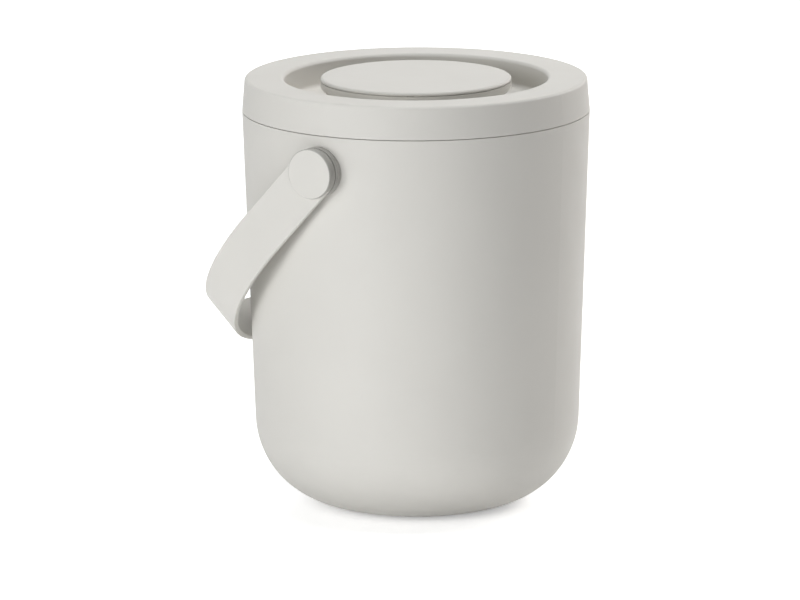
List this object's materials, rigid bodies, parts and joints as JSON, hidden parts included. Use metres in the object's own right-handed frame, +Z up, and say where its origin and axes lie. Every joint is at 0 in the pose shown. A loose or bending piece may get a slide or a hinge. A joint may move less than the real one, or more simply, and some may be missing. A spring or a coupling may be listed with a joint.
{
  "type": "compost caddy",
  "caption": "Round kitchen compost caddy with a strap handle that swings on two side pivots, a lift-out inner bucket and a lift-off lid with a sunk knob that holds a carbon filter.",
  "frame": {"origin": "centre of the flat base that the caddy stands on, on the bucket's axis", "axes": "+Z up along the bucket's axis, Y along the line through the two handle pivots, and the handle hangs towards -X"},
  "size_m": [0.1905, 0.1922, 0.2173],
  "materials": {
    "bucket_plastic": "fine matte moulded surface, warm light grey",
    "lid_plastic": "fine matte moulded surface, warm light grey",
    "handle_plastic": "smooth matte moulded surface, warm light grey",
    "spacer_plastic": "matte moulded surface, warm grey",
    "liner_plastic": "satin moulded surface, mid grey",
    "gasket_silicone": "soft silicone, dark warm grey",
    "carbon_foam": "open charcoal foam",
    "screw_steel": "plain stainless steel"
  },
  "bodies": {
    "bucket": {"outer_bucket": "bucket_plastic", "pivot_cap_front": "handle_plastic", "pivot_cap_rear": "handle_plastic", "pivot_spacer_front": "spacer_plastic", "pivot_spacer_rear": "spacer_plastic", "pivot_washers": "screw_steel", "pivot_screws": "screw_steel"},
    "handle": {"handle_strap": "handle_plastic"},
    "liner": {"inner_bucket": "liner_plastic"},
    "lid": {"lid_shell": "lid_plastic", "lid_gasket": "gasket_silicone", "knob_body": "lid_plastic", "knob_cap": "lid_plastic", "carbon_filter": "carbon_foam"},
    "grille": {"filter_grille": "liner_plastic"}
  },
  "joints": [
    {"name": "handle_swing", "type": "hinge", "parent": "bucket", "child": "handle", "pos_m": [0, 0, 0.1828], "axis": [0, 1, 0], "range_deg": [0, 273]},
    {"name": "liner_lift", "type": "slide", "parent": "bucket", "child": "liner", "axis": [0, 0, 1], "range_m": [0, 0.21]},
    {"name": "lid_lift", "type": "slide", "parent": "liner", "child": "lid", "axis": [0, 0, 1], "range_m": [0, 0.1]},
    {"name": "grille_twist", "type": "hinge", "parent": "lid", "child": "grille", "pos_m": [0, 0, 0.195], "axis": [0, 0, 1], "range_deg": [0, 25]}
  ]
}
